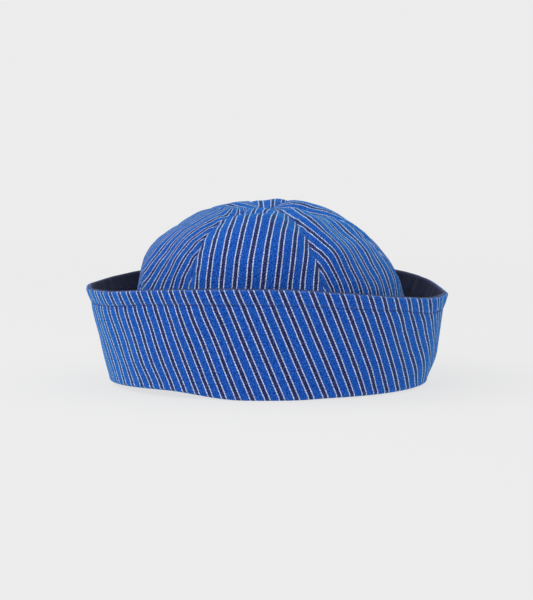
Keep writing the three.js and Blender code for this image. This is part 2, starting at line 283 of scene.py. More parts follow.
def stripedTwill():
    material, tree, shader = newMaterial("stripedTwill")
    uv, u, v, wornAndLit = clothPlace(tree)
    uneven = speckle(tree, uv, twill["wandersPerMetre"])
    lane = calc(tree, "DIVIDE", u, twill["period"] * mm)
    lane = calc(tree, "ADD", lane, offMiddle(tree, uneven, twill["wander"]))
    away = calc(tree, "PINGPONG", lane, 0.5)

    # weave: fine ribs, slanting a little, of yarns that are thick and thin
    slub = speckle(tree, uv, twill["slubsPerMetre"])
    slant = calc(tree, "ADD", u, calc(tree, "MULTIPLY", v, twill["ribLean"]))
    slant = calc(tree, "DIVIDE", slant, twill["ribPitch"] * mm)
    slant = calc(tree, "ADD", slant, calc(tree, "MULTIPLY", slub, twill["ribWander"]))
    rib = calc(tree, "MULTIPLY", calc(tree, "PINGPONG", slant, 0.5), 2.0)
    yarn = stretched(tree, u, v, twill["yarnStretch"])
    yarn = speckle(tree, yarn, twill["yarnsPerMetre"], detail=0.5)
    yarn = calc(tree, "ADD", yarn, offMiddle(tree, rib, twill["ribInYarn"]))
    cloud = speckle(tree, uv, twill["cloudsPerMetre"], detail=3.0)
    cloud = fade(tree, cloud, *twill["clouds"], 0.0, twill["cloudShade"])
    onTop = fade(tree, yarn, *twill["yarnTops"])
    between = fade(tree, yarn, *twill["yarnGaps"], 1.0, 0.0)

    def blended(share, strength, first, second):
        return mixColour(tree, calc(tree, "MULTIPLY", share, twill[strength]), first, twill[second])

    blue = mixColour(tree, fade(tree, slub, *twill["slubs"]), twill["blueDeep"], twill["blue"])
    blue = mixColour(tree, cloud, blue, twill["blueDeep"])
    blue = blended(onTop, "paleOnBlue", blue, "bluePale")
    blue = blended(between, "shadeOnBlue", blue, "blueShade")
    navy = blended(onTop, "paleOnNavy", twill["navy"], "navyPale")
    navy = blended(between, "shadeOnNavy", navy, "navyShade")
    cotton = blended(between, "shadeOnWhite", twill["white"], "whiteShade")

    # the white yarn is twisted: its edges step, and it thins between two twists
    twist = calc(tree, "DIVIDE", v, twill["ropePitch"] * mm)
    twist = calc(tree, "ADD", twist, calc(tree, "MULTIPLY", lane, twill["ropeLean"]))
    twist = calc(tree, "PINGPONG", calc(tree, "ADD", twist, slub), 0.5)
    offWhite = calc(tree, "ABSOLUTE", calc(tree, "SUBTRACT", away, twill["whiteAt"]))
    offWhite = calc(tree, "ADD", offWhite, offMiddle(tree, twist, -twill["ropeSwell"], middle=0.25))
    whiteFrom = twill["whiteHalf"] - twill["whiteEdgeIn"]
    whiteTo = twill["whiteHalf"] + twill["whiteEdgeOut"]
    white = fade(tree, offWhite, whiteFrom, whiteTo, 1.0, 0.0)
    waist = fade(tree, twist, *twill["ropeThins"], twill["ropeWaist"], 1.0)
    white = calc(tree, "MULTIPLY", white, waist)
    darkFrom, darkTo = (twill["navyHalf"] + side * twill["navyEdge"] for side in (-1, 1))
    dark = fade(tree, away, darkFrom, darkTo, 1.0, 0.0)

    colour = mixColour(tree, white, mixColour(tree, dark, blue, navy), cotton)
    groove = fade(tree, rib, *twill["ribGroove"], twill["ribShade"], 0.0)
    colour = mixColour(tree, groove, colour, twill["underRib"])
    # paler where the cloth is worn and where a highlight is painted
    patchy = speckle(tree, uv, twill["patchesPerMetre"], detail=4.0)
    patchy = fade(tree, patchy, *twill["patches"], twill["leastPatch"], 1.0)
    wornAndLit = calc(tree, "MULTIPLY", calc(tree, "MULTIPLY", wornAndLit, patchy), twill["mostWornAndLit"])
    plug(tree, shader.inputs["Base Color"], mixColour(tree, wornAndLit, colour, twill["fadedAndLit"]))

    height = calc(tree, "MULTIPLY", rib, twill["ribHeight"])
    height = calc(tree, "ADD", height, calc(tree, "MULTIPLY", yarn, twill["yarnHeight"]))
    height = calc(tree, "ADD", height, calc(tree, "MULTIPLY", white, twill["whiteHeight"]))
    bump(tree, shader, height, twill)
    finishCloth(shader, twill)
    return material


navyCotton = {
    "ribPitch": 2.3,  # between the faint upright ribs
    "ribWander": 0.4, "wandersPerMetre": 420.0, "ribTops": (0.1, 0.9),
    "weftPitch": 0.55,
    "yarnsPerMetre": 1500.0, "yarnTops": (0.25, 0.75), "leastPale": 0.4,
    "patches": (0.3, 0.7), "leastWornAndLit": 0.35, "mostWornAndLit": 0.85,
    "navy": (0.0108, 0.0135, 0.030),
    "navyPale": (0.0200, 0.0240, 0.049),
    # paler colour for the worn rim edge and for the painted sheen there
    "fadedAndLit": (0.11, 0.12, 0.21),
    "bump": 0.5, "bumpDepth": 0.0003,
    "yarnHeight": 0.5, "weftHeight": 0.5,
    "roughness": 0.95,
    "gloss": 0.1,
    "sheen": 0.3,
    "sheenRoughness": 0.35,
    "sheenTint": (0.6, 0.66, 1.0),
}


def ribbedNavy():
    material, tree, shader = newMaterial("ribbedNavy")
    uv, u, v, wornAndLit = clothPlace(tree)
    uneven = speckle(tree, uv, navyCotton["wandersPerMetre"])
    lane = calc(tree, "DIVIDE", u, navyCotton["ribPitch"] * mm)
    lane = calc(tree, "ADD", lane, offMiddle(tree, uneven, navyCotton["ribWander"]))
    rib = calc(tree, "MULTIPLY", calc(tree, "PINGPONG", lane, 0.5), 2.0)
    yarn = speckle(tree, uv, navyCotton["yarnsPerMetre"], detail=3.0)
    weft = calc(tree, "PINGPONG", calc(tree, "DIVIDE", v, navyCotton["weftPitch"] * mm), 0.5)
    ribTop = fade(tree, rib, *navyCotton["ribTops"])
    yarnTop = fade(tree, yarn, *navyCotton["yarnTops"], navyCotton["leastPale"], 1.0)
    pale = calc(tree, "MULTIPLY", ribTop, yarnTop)
    colour = mixColour(tree, pale, navyCotton["navy"], navyCotton["navyPale"])
    # paler at the rim edge: partly wear, partly painted sheen
    patchy = fade(tree, yarn, *navyCotton["patches"], navyCotton["leastWornAndLit"], navyCotton["mostWornAndLit"])
    wornAndLit = calc(tree, "MULTIPLY", wornAndLit, patchy)
    plug(tree, shader.inputs["Base Color"], mixColour(tree, wornAndLit, colour, navyCotton["fadedAndLit"]))
    height = calc(tree, "ADD", rib, calc(tree, "MULTIPLY", yarn, navyCotton["yarnHeight"]))
    height = calc(tree, "ADD", height, calc(tree, "MULTIPLY", weft, navyCotton["weftHeight"]))
    bump(tree, shader, height, navyCotton)
    finishCloth(shader, navyCotton)
    return material


hemThread = {
    "plyPerMetre": 2600.0, "plies": (0.35, 0.65),
    "dark": (0.014, 0.02, 0.11), "pale": (0.03, 0.04, 0.18),
    "bump": 0.4, "bumpDepth": 0.0001,
    "roughness": 0.75,
    "gloss": 0.25,
}


def sewingThread():
    material, tree, shader = newMaterial("sewingThread")
    place = tree.nodes.new("ShaderNodeTexCoord").outputs["Object"]
    ply = speckle(tree, place, hemThread["plyPerMetre"], detail=1.0)
    colour = mixColour(tree, fade(tree, ply, *hemThread["plies"]), hemThread["dark"], hemThread["pale"])
    plug(tree, shader.inputs["Base Color"], colour)
    bump(tree, shader, ply, hemThread)
    shader.inputs["Roughness"].default_value = hemThread["roughness"]
    shader.inputs["Specular IOR Level"].default_value = hemThread["gloss"]
    return material


striped, navyFacing, thread = stripedTwill(), ribbedNavy(), sewingThread()
print("cloths and thread made")

brim = {
    "halfWidth": 95, "halfDepth": 101,  # outline of the fold that the hat stands on
    "flare": 14.7,  # how far the upper edge leans out
    "cloth": 1.4, "gap": 0.3, "facing": 1.2,
    "hemSwell": 0.15, "hemSwellOver": 1.2,  # extra thickness of the turned hem
    "pinch": 0.4, "pinchWidth": 2.4,  # the stitching pulls the wall in
    "stitchGroove": 0.25, "stitchGrooveWidth": 0.5, "facingGrooveWidth": 0.55,
    "bellyHeight": 14, "bellyReach": 18,
    "turnHeight": 11.4,  # cloth turned up inside the crown
    "turnFoot": 2.9, "turnLean": 0.3,
    "foldRadius": 2.0, "foldHeight": 3.4, "foldAngle": 80, "foldRows": 7, "turnRows": 8,
    "usualWall": 54, "usualHem": 8.9,  # heights that the closest rows are spaced by
    "columns": 480, "wallRows": 40, "hemRows": 8, "facingRows": 26, "facingHemRows": 7,
    # lighter rim edges: partly wear, partly painted light (a painted highlight on the outer cloth, painted
    # sheen on the facing)
    "edgeWearAndHighlight": 0.8, "facingEdgeWearAndSheen": 0.75, "edgeWearAndHighlightWidth": 0.9,
    "stitchWear": 0.35, "stitchWearAt": 1.2, "stitchWearWidth": 0.7,
    "foldLightening": 0.1, "foldWearAt": 1.5, "foldWearWidth": 2.2,
}
# unevenness of the wall: height of each kind of hill, and how far apart they are
brimRipple = {
    "from": 4, "over": 14,  # above the fold, where it sets in
    "wave": 0.5, "waveSize": 46, "waveTall": 0.45, "waveSeed": 3,  # Tall: share of the height that counts
    "small": 0.16, "smallSize": 13, "smallTall": 0.6, "smallSeed": 4,
    "puckerSize": 5.2, "puckerTall": 0.25, "puckerSeed": 5,
    "pucker": 0.12, "puckerReach": 3.2,  # along the stitching
    "hemPucker": 0.1, "hemPuckerAt": 6.5, "hemPuckerReach": 3.5,
    "seam": 0.7, "seamWidth": 1.3,  # groove of the seam at the back
    "seamPuff": 0.35, "seamPuffAt": 3, "seamPuffWidth": 2.2,
}
# rim: height of the upper edge, lift: of the fold above the table, lip: extra lean of the hem,
# belly: bulge of the wall above the fold, hem: from the upper edge down to the stitching
brimShape = [
    {"azimuth": 8, "rim": 64.7, "lift": 0, "lip": 0.2, "belly": 0.4, "hem": 9.2},
    {"azimuth": 24, "rim": 62.2, "lift": 0.7, "lip": 0.2, "belly": 0.8, "hem": 8.7},
    {"azimuth": 45, "rim": 58.2, "lift": 0.8, "lip": 0.3, "belly": 1.4, "hem": 8.0},
    {"azimuth": 68, "rim": 55.3, "lift": 0.9, "lip": 0.2, "belly": 2.3, "hem": 9.5},
    {"azimuth": 90, "rim": 55.2, "lift": 0.5, "lip": 0.3, "belly": 2.9, "hem": 9.4},
    {"azimuth": 120, "rim": 61.9, "lift": 0, "lip": 0.2, "belly": 2.0, "hem": 8.8},
    {"azimuth": 150, "rim": 65.6, "lift": 0, "lip": 0.4, "belly": 1.0, "hem": 8.6},
    {"azimuth": 180, "rim": 66.0, "lift": 0, "lip": 0.4, "belly": 0.5, "hem": 8.8},
    {"azimuth": 210, "rim": 65.4, "lift": 0, "lip": 0.4, "belly": 0.3, "hem": 8.9},
    {"azimuth": 240, "rim": 61.2, "lift": 0.2, "lip": 0.5, "belly": 0.1, "hem": 8.7},
    {"azimuth": 270, "rim": 58.9, "lift": 1.4, "lip": 0.5, "belly": 0, "hem": 8.5},
    {"azimuth": 300, "rim": 59.9, "lift": 2.9, "lip": 0.5, "belly": 0.1, "hem": 8.9},
    {"azimuth": 322, "rim": 62.9, "lift": 3.7, "lip": 0.3, "belly": 0.3, "hem": 8.7},
    {"azimuth": 352, "rim": 65.2, "lift": 0, "lip": 0.2, "belly": 0.4, "hem": 9.4},
]
# the brim's cloth was cut as an arc, with the stripes at an angle to its middle
brimCut = {
    "radius": 449,  # of the fold's line on the flat cloth
    "lean": 0.369,  # of the stripes at the front, in radians
    "firstStripe": 0.034,  # stripe nearest the front, as share of the period
    "eased": 16,  # cloth eased in towards each side
    "easeFrom": 40, "easeTo": 100,
    "height": 62,
}
# how far the stripes were pulled along when the brim was sewn, at the fold and at the rim
brimPull = [
    {"azimuth": -78, "fold": 0.2, "rim": 0.0},
    {"azimuth": -66, "fold": 0.3, "rim": -0.2},
    {"azimuth": -54, "fold": -0.2, "rim": -0.7},
    {"azimuth": -40, "fold": -0.9, "rim": -0.4},
    {"azimuth": -24, "fold": -1.2, "rim": 0.1},
    {"azimuth": -8, "fold": -1.2, "rim": -0.4},
    {"azimuth": 8, "fold": -1.1, "rim": -0.1},
    {"azimuth": 24, "fold": -0.9, "rim": 0.6},
    {"azimuth": 40, "fold": -0.3, "rim": 0.6},
    {"azimuth": 54, "fold": 0.0, "rim": -0.9},
    {"azimuth": 66, "fold": -0.4, "rim": -1.4},
    {"azimuth": 78, "fold": -0.9, "rim": -1.2},
    {"azimuth": 120, "fold": 0.0, "rim": 0.0},
    {"azimuth": 240, "fold": 0.0, "rim": 0.0},
]


def brimLevel(azimuth, name):
    return around(brimShape, name, azimuth)


def wallLean(azimuth, z):
    # how far the outer face stands out from the fold's outline
    rim, lift = brimLevel(azimuth, "rim"), brimLevel(azimuth, "lift")
    share = np.clip((z - lift) / (rim - lift), 0, 1.05)
    hem = brimLevel(azimuth, "hem")
    above = z - (rim - hem)
    lean = brim["flare"] * share - brim["pinch"] * hill(above, brim["pinchWidth"])
    lean += brimLevel(azimuth, "lip") * smooth(above / hem)
    lean += brimLevel(azimuth, "belly") * hill(z - lift - brim["bellyHeight"], brim["bellyReach"])
    return lean


def wallRipple(azimuth, z):
    # slow unevenness, puckers along the stitching and the seam at the back
    ripple = brimRipple
    rim, lift = brimLevel(azimuth, "rim"), brimLevel(azimuth, "lift")
    x, y = onEllipse(brim["halfWidth"], brim["halfDepth"], azimuth, 0)
    place = np.stack([x, y, z + 0 * x], -1)
    high = smooth((z - lift - ripple["from"]) / ripple["over"])
    above = z - (rim - brimLevel(azimuth, "hem"))

    def hills(kind):
        stretchedPlace = place * (1, 1, ripple[kind + "Tall"])
        return softNoise(stretchedPlace, ripple[kind + "Size"], ripple[kind + "Seed"])

    wave, small, pucker = (hills(kind) for kind in ("wave", "small", "pucker"))
    puckered = ripple["pucker"] * hill(above, ripple["puckerReach"])
    puckered += ripple["hemPucker"] * hill(above - ripple["hemPuckerAt"], ripple["hemPuckerReach"])
    fromBack = np.radians(180 - np.abs(azimuth)) * brim["halfDepth"]
    seam = ripple["seam"] * hill(fromBack, ripple["seamWidth"])
    seam -= ripple["seamPuff"] * hill(fromBack - ripple["seamPuffAt"], ripple["seamPuffWidth"])
    return high * (ripple["wave"] * wave + ripple["small"] * small - seam) + pucker * puckered


def foldLengths():
    azimuth = np.linspace(-180, 180, 1441)
    x, y = onEllipse(brim["halfWidth"], brim["halfDepth"], azimuth, 0)
    length = np.concatenate([[0], np.cumsum(np.hypot(np.diff(x), np.diff(y)))])
    return azimuth, length - np.interp(0, azimuth, length)


foldAzimuth, foldLength = foldLengths()


def brimGrain(azimuth, up):
    # place on the flat cloth of a point that is up along the wall from the fold
    along = np.interp(azimuth, foldAzimuth, foldLength)
    ease = smooth((np.abs(azimuth) - brimCut["easeFrom"]) / (brimCut["easeTo"] - brimCut["easeFrom"]))
    turn = (along - np.sign(azimuth) * brimCut["eased"] * ease) / brimCut["radius"]
    across = (brimCut["radius"] + up) * np.sin(turn)
    down = (brimCut["radius"] + up) * np.cos(turn) - brimCut["radius"]
    c, s = math.cos(brimCut["lean"]), math.sin(brimCut["lean"])
    high = np.clip(up / brimCut["height"], 0, 1)
    pull = around(brimPull, "fold", azimuth) * (1 - high) + around(brimPull, "rim", azimuth) * high
    u = across * c + down * s + brimCut["firstStripe"] * twill["period"] + pull
    return np.stack([u, down * c - across * s], -1)


def facingGrain(azimuth, up):
    along = np.interp(azimuth, foldAzimuth, foldLength)
    return np.stack([along * (1 + up / brimCut["radius"]), up + 0 * along], -1)


def wallHeights(azimuth, below, above):
    # below: shares of the way from the fold to the stitching, above: from there to the rim
    rim, lift, hem = (brimLevel(azimuth, name) for name in ("rim", "lift", "hem"))
    lower = lift + np.asarray(below)[:, None] * (rim - hem - lift)
    upper = rim - hem * (1 - np.asarray(above)[:, None])
    return np.concatenate([lower, upper])


def alongSection(out, z):
    steps = np.hypot(np.diff(out, axis=0), np.diff(z, axis=0))
    return np.concatenate([0 * z[:1], np.cumsum(steps, axis=0)])


endRows = 3


def roundEnds(out, z, thickness):
    # a few more rows at each end of the section close the cloth with a half-round edge
    def cap(edge, before):
        direction = np.stack([out[edge] - out[before], z[edge] - z[before]])
        direction = direction / np.hypot(*direction)
        half = thickness[edge] / 2
        angles = [math.radians(90 * (k + 1) / endRows) for k in range(endRows)]
        return [np.stack([out[edge] + direction[0] * half * math.sin(a),
                          z[edge] + direction[1] * half * math.sin(a),
                          thickness[edge] * max(math.cos(a), 0.04)]) for a in angles]

    first, last = np.array(cap(0, 1)[::-1]), np.array(cap(-1, -2))
    body = np.stack([out, z, thickness], 1)
    whole = np.concatenate([first, body, last])
    return whole[:, 0], whole[:, 1], whole[:, 2]


def sectionPiece(name, azimuth, out, z, thickness, swell, wearAndHighlight, grain):
    # out and z are the cloth's middle line, one row for each step and one column for each azimuth
    stepOut, stepZ = np.gradient(out, axis=0), np.gradient(z, axis=0)
    length = np.hypot(stepOut, stepZ)
    normalOut, normalZ = stepZ / length, -stepOut / length

    def face(far):
        x, y = onEllipse(brim["halfWidth"], brim["halfDepth"], azimuth, out + normalOut * far)
        return np.stack([x, y, z + normalZ * far], -1)

    outer, inner = face(thickness / 2 + swell), face(-thickness / 2)
    return clothPiece(name, outer, inner, grain, wearAndHighlight, closed=True)


crownFoot = {"inset": brim["cloth"] + brim["facing"] + 2 * brim["gap"], "z": 1.8}
stitchSteps = np.array([0.2, 0.42, 0.7, 1.05, 1.5, 2.0])  # rows close to the stitching


def brimRows(firstShare, rows, hemRows, hemTop):
    # rows of the wall, closest to each other along the stitching
    nearStitch = 1 - stitchSteps[::-1] / brim["usualWall"]
    below = np.concatenate([np.linspace(firstShare, 0.95, rows), nearStitch])
    above = np.concatenate([[0], stitchSteps / brim["usualHem"], np.linspace(0.3, hemTop, hemRows)])
    return below, above


def makeBrimOuter():
    azimuth = np.linspace(-180, 180, brim["columns"] + 1)[None, :]
    rim, lift, hem = (brimLevel(azimuth, name) for name in ("rim", "lift", "hem"))
    half = brim["cloth"] / 2
    firstShare = brim["foldHeight"] / brim["usualWall"]
    wallZ = wallHeights(azimuth, *brimRows(firstShare, brim["wallRows"], brim["hemRows"], 0.9))
    wallZ[0] = lift + brim["foldHeight"]
    onGrid = azimuth + 0 * wallZ
    wallOut = wallLean(onGrid, wallZ) + wallRipple(onGrid, wallZ) - half

    # the cloth turns under the hat and up inside the crown
    angle = np.radians(np.linspace(brim["foldAngle"], 0, brim["foldRows"]))[:, None]
    cornerOut = wallOut[0] - 0.05 - brim["foldRadius"] * (1 - np.sin(angle))
    cornerZ = lift + half + brim["foldRadius"] * (1 - np.cos(angle))
    insideOut = -(crownFoot["inset"] + brim["cloth"] + brim["gap"] + half)
    insideZ = lift + np.linspace(brim["turnHeight"], brim["turnFoot"], brim["turnRows"])[:, None]
    insideLean = insideOut - brim["turnLean"] * (insideZ - lift - brim["turnFoot"])
    innerCornerOut = insideOut + brim["foldRadius"] * (1 - np.sin(angle))
    flatShare = np.array([[0.35], [0.65]])
    flatOut = innerCornerOut[-1] + flatShare * (cornerOut[-1] - innerCornerOut[-1])
    turn = [(insideLean, insideZ), (innerCornerOut + 0 * lift, cornerZ),
            (flatOut, lift + half + 0 * flatOut), (cornerOut[::-1], cornerZ[::-1])]
    out = np.concatenate([part[0] for part in turn] + [wallOut])
    z = np.concatenate([part[1] for part in turn] + [wallZ])

    onWall = np.arange(len(z))[:, None] >= len(z) - len(wallZ)
    aboveStitch = z - (rim - hem)
    groove = brim["stitchGroove"] * hill(aboveStitch, brim["stitchGrooveWidth"])
    swell = brim["hemSwell"] * smooth(aboveStitch / brim["hemSwellOver"]) - groove
    out, z, thickness = roundEnds(out, z, np.full_like(z, brim["cloth"]))
    ends = np.array([[0.7], [0.35], [0.0]]) * brim["hemSwell"] + 0 * rim
    swell = np.concatenate([0 * ends, swell * onWall, ends])
    up = alongSection(out, z)
    up -= up[endRows + sum(len(part[0]) for part in turn)] - brim["foldHeight"]
    # the rim's edge is lighter: partly wear, partly a painted highlight
    wearAndHighlight = brim["edgeWearAndHighlight"] * hill(z - rim, brim["edgeWearAndHighlightWidth"])
    wearAndHighlight += brim["stitchWear"] * hill(z - (rim - hem + brim["stitchWearAt"]), brim["stitchWearWidth"])
    wearAndHighlight += brim["foldLightening"] * hill(z - lift - brim["foldWearAt"], brim["foldWearWidth"])
    grain = brimGrain(azimuth + 0 * z, up)
    piece = sectionPiece("brimOuter", azimuth + 0 * z, out, z, thickness, swell, wearAndHighlight, grain)
    dress(piece, striped, "striped_cloth", "brim_outer", "brim_inner_turn")


def makeBrimFacing():
    azimuth = np.linspace(-180, 180, brim["columns"] + 1)[None, :]
    rim, hem = brimLevel(azimuth, "rim"), brimLevel(azimuth, "hem")
    z = wallHeights(azimuth, *brimRows(0.04, brim["facingRows"], brim["facingHemRows"], 0.965))
    onGrid = azimuth + 0 * z
    out = wallLean(onGrid, z) + wallRipple(onGrid, z) - brim["cloth"] - brim["gap"] - brim["facing"] / 2
    groove = brim["stitchGroove"] * hill(z - (rim - hem), brim["facingGrooveWidth"])
    out, z, thickness = roundEnds(out, z, brim["facing"] - groove)
    # the facing's rim edge is lighter: partly wear, partly painted sheen
    wearAndHighlight = brim["facingEdgeWearAndSheen"] * hill(z - rim, brim["edgeWearAndHighlightWidth"])
    grain = facingGrain(azimuth + 0 * z, alongSection(out, z))
    piece = sectionPiece("brimFacing", azimuth + 0 * z, out, z, thickness, 0 * z, wearAndHighlight, grain)
    dress(piece, navyFacing, "navy_cloth", "brim_facing")


makeBrimOuter()
makeBrimFacing()
print("brim made")

stitching = {
    "pitch": 3.1, "length": 2.35, "thickness": 0.4,
    "arch": 0.1,  # height of a stitch's middle over the groove
    "sink": 0.3,  # depth of its ends below its middle
    "proudOutside": 0.03, "proudInside": 0.1,  # of the groove and of the facing
    "sides": 6,
    "uneven": 0.15, "sway": 0.16, "seed": 11,  # of where each one starts, and of its slant
    # share of the thickness at places along a stitch
    "girths": [(0.0, 0.45), (0.1, 0.85), (0.3, 1.0), (0.5, 1.05), (0.7, 1.0), (0.9, 0.85), (1.0, 0.45)],
}


def stitchRow(name, depth, slotName, facesOut):
    # one bead of thread for each stitch, with its ends sunk into the cloth
    azimuth = foldAzimuth
    height = brimLevel(azimuth, "rim") - brimLevel(azimuth, "hem")
    out = wallLean(azimuth, height) + wallRipple(azimuth, height) - depth
    path = np.stack([*onEllipse(brim["halfWidth"], brim["halfDepth"], azimuth, out), height], -1)
    length = np.concatenate([[0], np.cumsum(np.linalg.norm(np.diff(path, axis=0), axis=1))])
    random = np.random.default_rng(stitching["seed"])
    sides, girths = stitching["sides"], stitching["girths"]
    uneven, mostSway = stitching["uneven"], stitching["sway"]
    turns = [2 * math.pi * side / sides for side in range(sides)]
    points, faces = [], []

    def placeAt(at):
        return np.array([np.interp(at, length, path[:, i]) for i in range(3)])

    for k in range(int(length[-1] / stitching["pitch"])):
        start = k * stitching["pitch"] + random.uniform(-uneven, uneven)
        sway = random.uniform(-mostSway, mostSway)
        base = len(points)
        for share, girth in girths:
            at = start + share * stitching["length"]
            middle = placeAt(at)
            ahead = placeAt(at + 0.5) - middle
            ahead /= np.linalg.norm(ahead)
            outward = np.array([middle[0] / brim["halfWidth"] ** 2, middle[1] / brim["halfDepth"] ** 2, 0])
            outward -= ahead * (outward @ ahead)
            outward *= (1 if facesOut else -1) / np.linalg.norm(outward)
            upward = np.cross(ahead, outward)
            arch = stitching["arch"] - stitching["sink"] * (2 * share - 1) ** 4
            centre = middle + outward * arch + upward * sway * (share - 0.5)
            radius = stitching["thickness"] / 2 * girth
            for turn in turns:
                aside = math.cos(turn) * outward + math.sin(turn) * upward
                points.append((centre + radius * aside) * mm)
        for r in range(len(girths) - 1):
            for side in range(sides):
                a, b = base + r * sides + side, base + r * sides + (side + 1) % sides
                faces.append((a, b, b + sides, a + sides))
        last = base + (len(girths) - 1) * sides
        faces.append(tuple(base + side for side in reversed(range(sides))))
        faces.append(tuple(last + side for side in range(sides)))
    mesh = bpy.data.meshes.new(name)
    mesh.from_pydata([tuple(point) for point in points], [], faces)
    dress(linkPiece(name, mesh), thread, slotName)


outsideDepth = brim["stitchGroove"] - stitching["proudOutside"]
insideDepth = brim["cloth"] + brim["gap"] + brim["facing"] - stitching["proudInside"]
stitchRow("hemStitchesOutside", outsideDepth, "striped_cloth", facesOut=True)
stitchRow("hemStitchesInside", insideDepth, "navy_cloth", facesOut=False)
print("hem stitches made")

crown = {
    "halfWidth": 82.6, "halfDepth": 85.6,
    "top": 110.2, "foot": 41.5,  # heights of the dome's top and of its lower edge
    "shiftX": 2.4, "apexShiftX": -3,  # of the middle, from the brim's middle
    "firstGore": -6.5,  # azimuth of the front gore's middle
    "goreAngle": 60,
    "cloth": 1.4,
    "riseReach": 30,  # a gore's rise is full this far from the top
    "wallCurve": 1.25,  # how the wall widens towards its foot
    # extra thickness inside, where the seams are turned back, down to a height above the table
    "allowance": 1.0, "allowanceWidth": 5.5, "allowanceFade": 1.5,
    "allowanceFoot": 18, "allowanceFootFade": 6,
    "seamDip": 1.0, "seamDipWidth": 6.5,
    "seamGroove": 0.6, "seamGrooveWidth": 0.8, "seamGrooveFade": 6,
    "apexDip": 4.4, "apexDipWidth": 17, "apexCalm": 26,
    "settle": 0.65,  # the soft cloth sinks in by this much
    # puckers along the seams, and soft hills all over
    "pucker": 0.2, "puckerSize": 6.5, "puckerSeed": 21, "puckerAt": 2.5, "puckerReach": 4.5,
    "wave": 0.42, "waveSize": 30, "waveSeed": 22,
    "small": 0.13, "smallSize": 11, "smallSeed": 54,
    "seamWear": 0.35, "seamWearAt": 1.4, "seamWearWidth": 0.9,
    "apexWear": 0.15, "apexWearWidth": 20,
    "rows": 128, "footRows": 22, "columns": 76,
    "crowding": 0.13,  # how much closer together the columns are at the seams
    "halfGap": 0.02,  # half of the space between two gores
    # rows are angles: 0 at the top, 90 where the dome ends, 180 at the foot of the wall
    "firstRow": 0.25, "firstWallRow": 93.6,
    "calmFrom": 100, "calmOver": 50,  # the folds and puckers fade out behind the brim
    "uprightFrom": 130, "uprightOver": 10,  # below this the cloth's thickness lies level
}
# where the stripes' curves are measured from, and how the stripes end behind the brim
goreCut = {
    "unit": 40,
    "middle": 80,  # down the gore from its point
    "bendsTo": 0.7, "straightOver": 0.3,  # in units below the middle
    "wander": 0.15, "wanderSize": 24, "wanderSeed": 31,
}
# puff between the seams, squareness of the shoulder and rise of the top of each gore;
# then how its stripes lie, counted in stripes for each unit across and down the gore
goreShape = [
    {"name": "front", "azimuth": 0, "puff": 1.4, "square": 2.42, "rise": -0.2, "first": 0.153,
     "across": 4.75, "down": 0.49, "bend": 0.03, "fan": -0.05, "bow": 0.08, "sway": -0.01, "spread": 0.22},
    {"name": "front_right", "azimuth": 60, "puff": 1.0, "square": 2.08, "rise": 0, "first": -0.727,
     "across": 4.53, "down": 0.14, "bend": -0.22, "fan": 0.52, "bow": -0.9, "sway": 0.42, "spread": 0.39},
    {"name": "back_right", "azimuth": 120, "puff": 1.6, "square": 2.03, "rise": 0.6, "first": 0.45,
     "across": 4.7, "down": 1.9, "bend": -0.1, "fan": 0.1, "bow": -0.1, "sway": 0.05, "spread": 0.1},
    {"name": "back", "azimuth": 180, "puff": 1.8, "square": 2.2, "rise": 0.2, "first": 0.55,
     "across": 5.0, "down": -0.35, "bend": 0.1, "fan": 0.1, "bow": 0.15, "sway": 0, "spread": 0.1},
    {"name": "back_left", "azimuth": 240, "puff": 1.4, "square": 2.36, "rise": 0, "first": 0.15,
     "across": 5.3, "down": 0.5, "bend": 0.3, "fan": -0.4, "bow": 0.2, "sway": 0, "spread": -0.2},
    {"name": "front_left", "azimuth": 300, "puff": 1.2, "square": 2.44, "rise": -0.4, "first": 0.714,
     "across": 6.4, "down": 2.46, "bend": 1.83, "fan": -2.07, "bow": 0.35, "sway": -0.93, "spread": -1.59},
]
